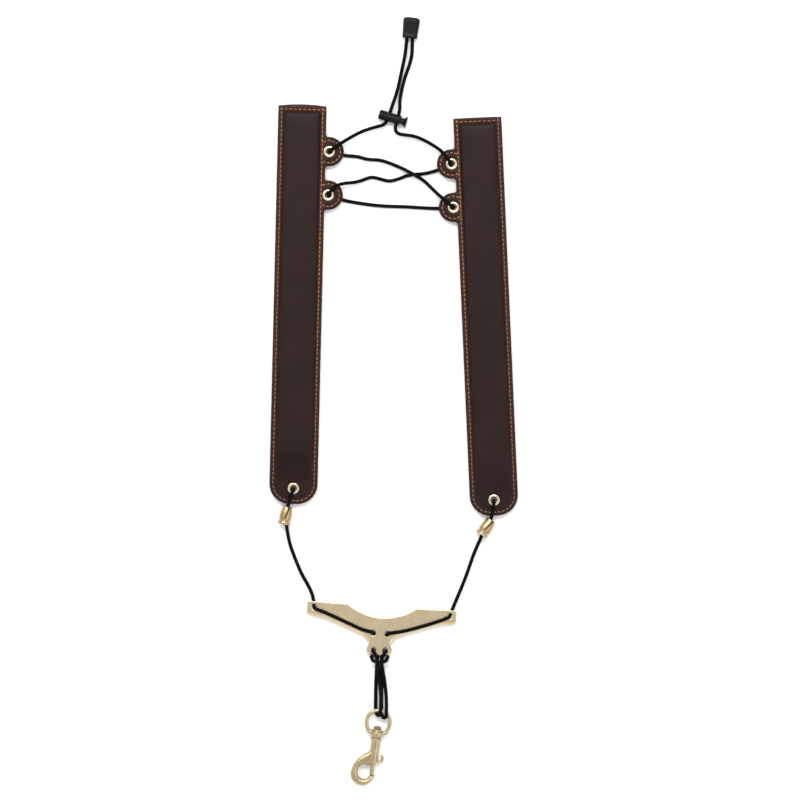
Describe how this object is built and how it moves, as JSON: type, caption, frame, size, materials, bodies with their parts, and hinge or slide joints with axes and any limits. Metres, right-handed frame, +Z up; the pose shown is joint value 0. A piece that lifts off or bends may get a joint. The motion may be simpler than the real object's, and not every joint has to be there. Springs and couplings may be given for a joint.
{
  "type": "saxophone neck strap",
  "caption": "Padded shoulder strap for a wind instrument, laced at the top through a cord lock, with a sliding height plate and a swivel snap hook.",
  "frame": {"origin": "centre of the laid-out strap's footprint, on the surface that it lies on", "axes": "+X to the right, +Y towards the lacing and the cord end, +Z up from the surface"},
  "size_m": [0.2062, 0.6377, 0.011],
  "materials": {
    "pad_leather": "very dark brown, fine grain, satin",
    "pad_foam": "soft foam",
    "seam_thread": "copper brown waxed thread",
    "eyelet_metal": "polished pale gold plate",
    "bell_metal": "polished pale gold plate",
    "black_cord": "round braid",
    "black_plastic": "satin",
    "spring_steel": "plain",
    "plate_metal": "champagne gold plate, satin",
    "hook_metal": "polished pale gold plate"
  },
  "bodies": {
    "pads": {"left_front_leather": "pad_leather", "left_back_leather": "pad_leather", "left_foam_core": "pad_foam", "left_seam_thread": "seam_thread", "left_upper_tab_eyelet": "eyelet_metal", "left_lower_tab_eyelet": "eyelet_metal", "left_tip_eyelet": "eyelet_metal", "left_eyelet_washers": "eyelet_metal", "left_cord_bell": "bell_metal", "left_cord_knot": "black_cord", "left_loop_cord": "black_cord", "left_drop_cord": "black_cord", "left_tail_cord": "black_cord", "right_front_leather": "pad_leather", "right_back_leather": "pad_leather", "right_foam_core": "pad_foam", "right_seam_thread": "seam_thread", "right_upper_tab_eyelet": "eyelet_metal", "right_lower_tab_eyelet": "eyelet_metal", "right_tip_eyelet": "eyelet_metal", "right_eyelet_washers": "eyelet_metal", "right_cord_bell": "bell_metal", "right_cord_knot": "black_cord", "right_loop_cord": "black_cord", "right_drop_cord": "black_cord", "right_tail_cord": "black_cord", "lacing_cord": "black_cord", "cord_end_shell": "black_plastic", "cord_end_lid": "black_plastic", "cord_end_knot": "black_cord"},
    "lock": {"lock_barrel": "black_plastic", "lock_spring": "spring_steel"},
    "lock_button": {"lock_plunger": "black_plastic"},
    "plate": {"height_plate": "plate_metal"},
    "cord_bight": {"suspension_cord": "black_cord"},
    "eye": {"swivel_eye": "hook_metal"},
    "hook": {"hook_body": "hook_metal", "swivel_rivet": "hook_metal", "bolt_spring": "spring_steel"},
    "bolt": {"hook_bolt": "hook_metal", "thumb_trigger": "hook_metal"}
  },
  "joints": [
    {"name": "lock_slide", "type": "slide", "parent": "pads", "child": "lock", "axis": [0.242, 0.9703, 0], "range_m": [-0.005, 0.012], "deforming": ["left_tail_cord", "right_tail_cord", "lacing_cord"]},
    {"name": "lock_press", "type": "slide", "parent": "lock", "child": "lock_button", "axis": [-0.9537, 0.3007, 0], "range_m": [0, 0.0024], "stiffness_N_per_m": 500, "springref_m": -0.002, "deforming": ["lock_spring"]},
    {"name": "plate_slide", "type": "slide", "parent": "pads", "child": "plate", "axis": [0, 1, 0], "range_m": [-0.03, 0.025], "deforming": ["left_drop_cord", "right_drop_cord"]},
    {"name": "cord_bight_slide", "type": "slide", "parent": "plate", "child": "cord_bight", "axis": [0, 1, 0], "range_m": [-0.0126, 0.0151], "deforming": ["suspension_cord"]},
    {"name": "eye_swing", "type": "hinge", "parent": "cord_bight", "child": "eye", "pos_m": [-0.01185, -0.2565, 0.00525], "axis": [-0.9923, 0.124, 0], "range_deg": [0, 80]},
    {"name": "hook_swivel", "type": "hinge", "parent": "eye", "child": "hook", "pos_m": [-0.0147, -0.2793, 0.00525], "axis": [-0.124, -0.9923, 0], "continuous": true},
    {"name": "bolt_slide", "type": "slide", "parent": "hook", "child": "bolt", "axis": [0.124, 0.9923, 0], "range_m": [0, 0.007], "stiffness_N_per_m": 300, "springref_m": -0.003, "deforming": ["bolt_spring"]}
  ],
  "couplings": [
    {"joint": "cord_bight_slide", "follows": "plate_slide", "ratio": -0.5}
  ]
}
